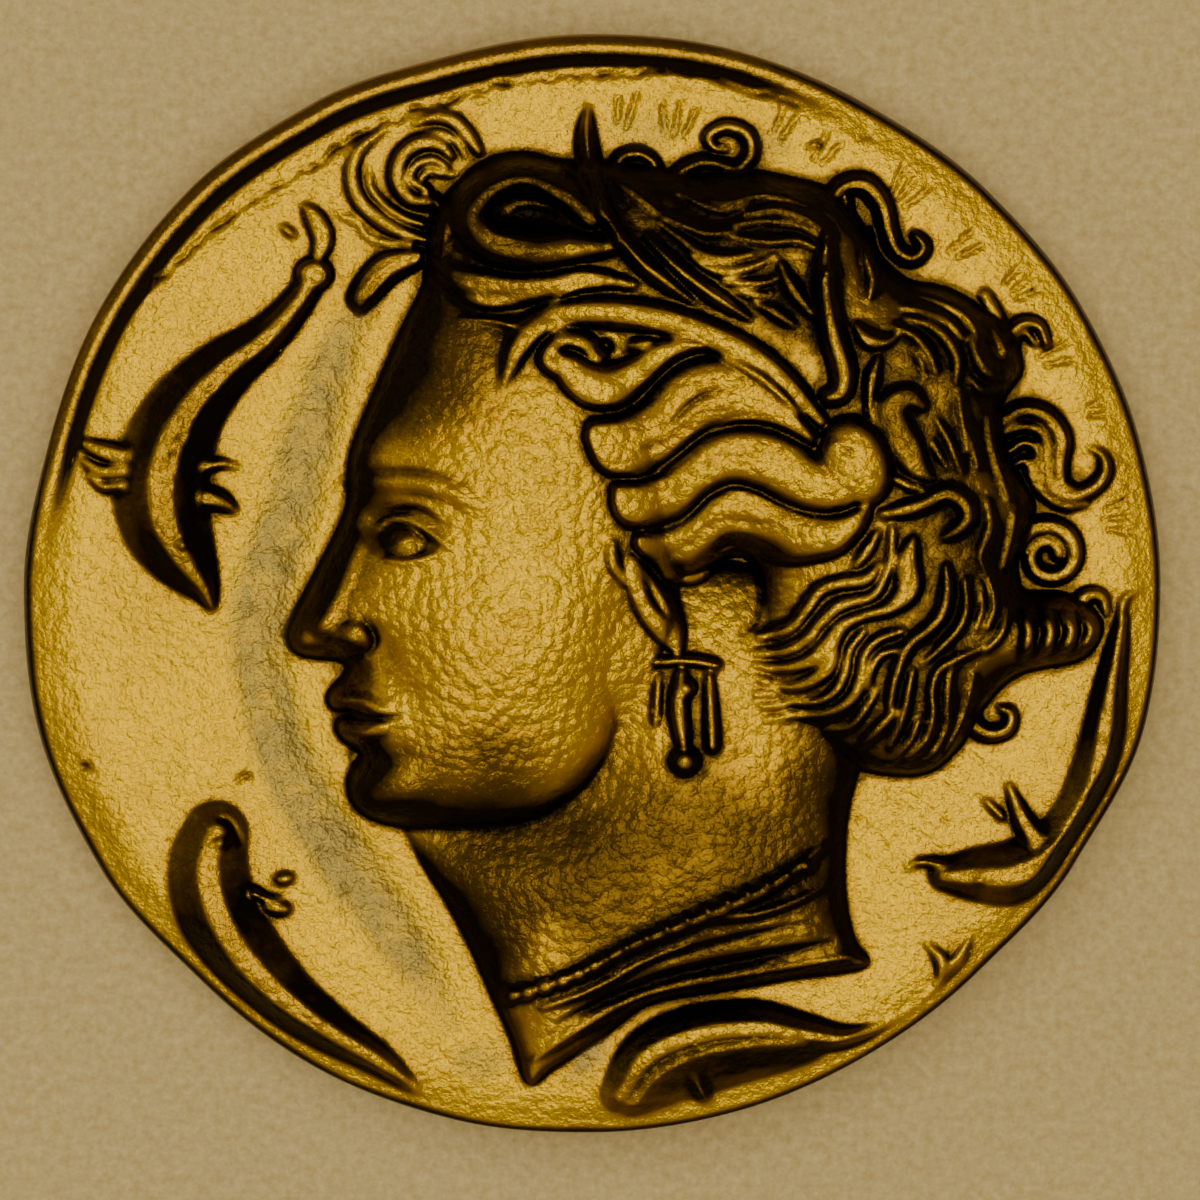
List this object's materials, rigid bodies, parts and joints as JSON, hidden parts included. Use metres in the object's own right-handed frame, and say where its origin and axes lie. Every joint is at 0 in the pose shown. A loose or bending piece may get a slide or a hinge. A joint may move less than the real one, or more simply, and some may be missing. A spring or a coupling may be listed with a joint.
{
  "type": "ancient coin",
  "caption": "Struck coin in high relief with a woman's head in profile, dolphins around it and a wreathed ear of barley on the reverse.",
  "frame": {"origin": "on the plane that the reverse rests on, under the middle of the coin's bounding box", "axes": "+Z out of the obverse, +X to the right and +Y to the top of the obverse design, which faces left"},
  "size_m": [0.0353, 0.0342, 0.0067],
  "materials": {
    "coin_metal": "struck gold-coloured metal, worn bright on the field, dark brown toning in the recesses"
  },
  "bodies": {
    "root": {"coin": "coin_metal"}
  },
  "joints": []
}
